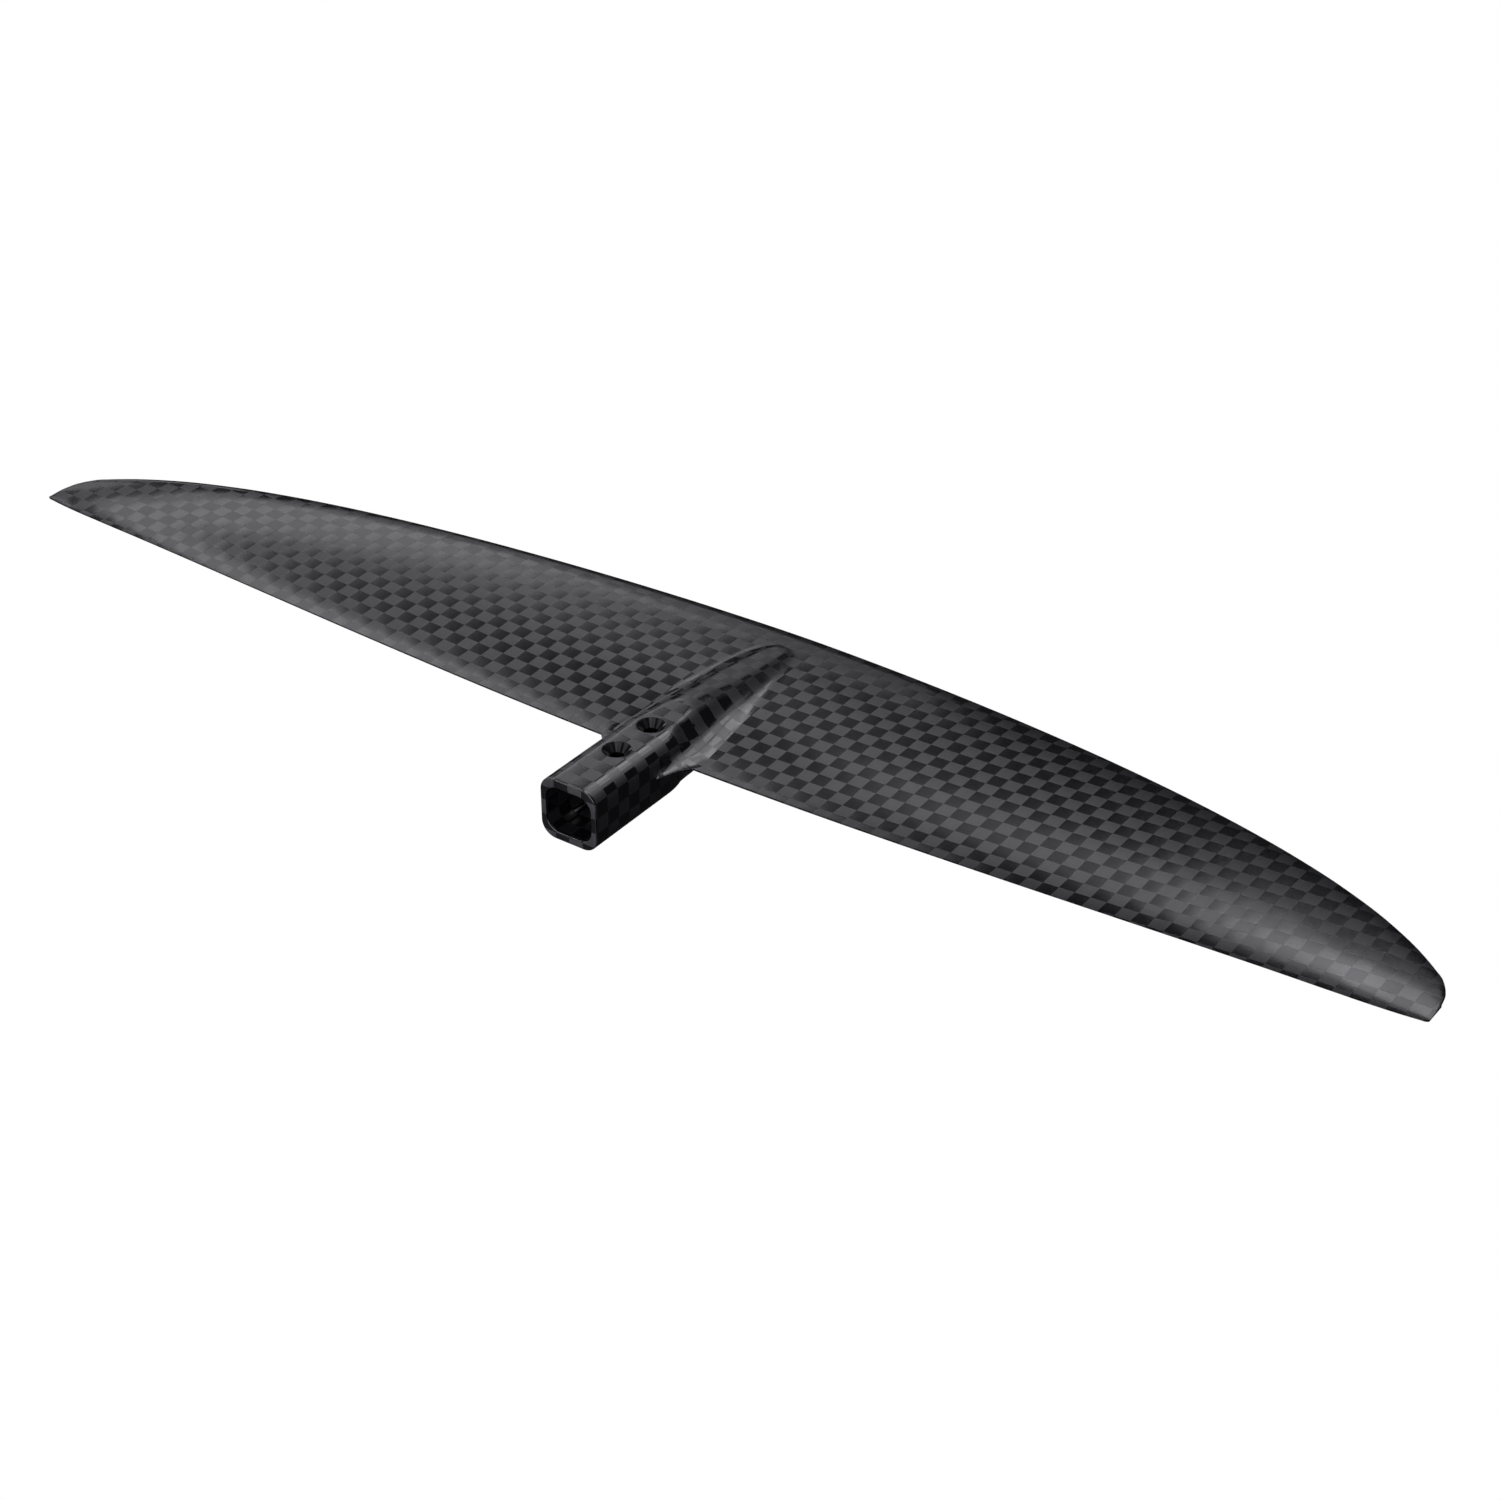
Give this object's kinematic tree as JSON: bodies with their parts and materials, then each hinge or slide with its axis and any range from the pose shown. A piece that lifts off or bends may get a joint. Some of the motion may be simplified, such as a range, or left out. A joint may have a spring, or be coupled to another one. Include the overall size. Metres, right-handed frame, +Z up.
{
  "type": "hydrofoil front wing",
  "caption": "Carbon hydrofoil wing of high aspect ratio with swept-up tips and a square rear socket that slips over a fuselage nose and is held by countersunk screws from above.",
  "frame": {"origin": "midpoint between the two screw axes, on the flat top face of the socket", "axes": "+X along the span to starboard, +Y forward from the socket mouth to the leading edge, +Z up out of the face with the screw seats"},
  "size_m": [0.75, 0.1823, 0.0369],
  "materials": {
    "carbon_skin": "satin lacquered spread-tow carbon, plain weave of about 7.5 mm tows",
    "carbon_inner": "bare moulded carbon laminate",
    "carbon_ud": "unidirectional carbon laminate",
    "foam_core": "closed-cell structural foam"
  },
  "bodies": {
    "root": {"skin_upper": "carbon_skin", "skin_lower": "carbon_skin", "fairing_upper": "carbon_skin", "fairing_lower": "carbon_skin", "leading_edge_port": "carbon_skin", "leading_edge_starboard": "carbon_skin", "trailing_edge_port": "carbon_skin", "trailing_edge_starboard": "carbon_skin", "tip_block_port": "carbon_skin", "tip_block_starboard": "carbon_skin", "socket_jacket": "carbon_skin", "socket_sleeve": "carbon_inner", "socket_bulkhead": "carbon_inner", "screw_seat_rear": "carbon_inner", "screw_seat_front": "carbon_inner", "spar_cap_upper": "carbon_ud", "spar_cap_lower": "carbon_ud", "shear_web_port": "carbon_ud", "shear_web_starboard": "carbon_ud", "core_fore_port": "foam_core", "core_fore_starboard": "foam_core", "core_aft_port": "foam_core", "core_aft_starboard": "foam_core"}
  },
  "joints": []
}
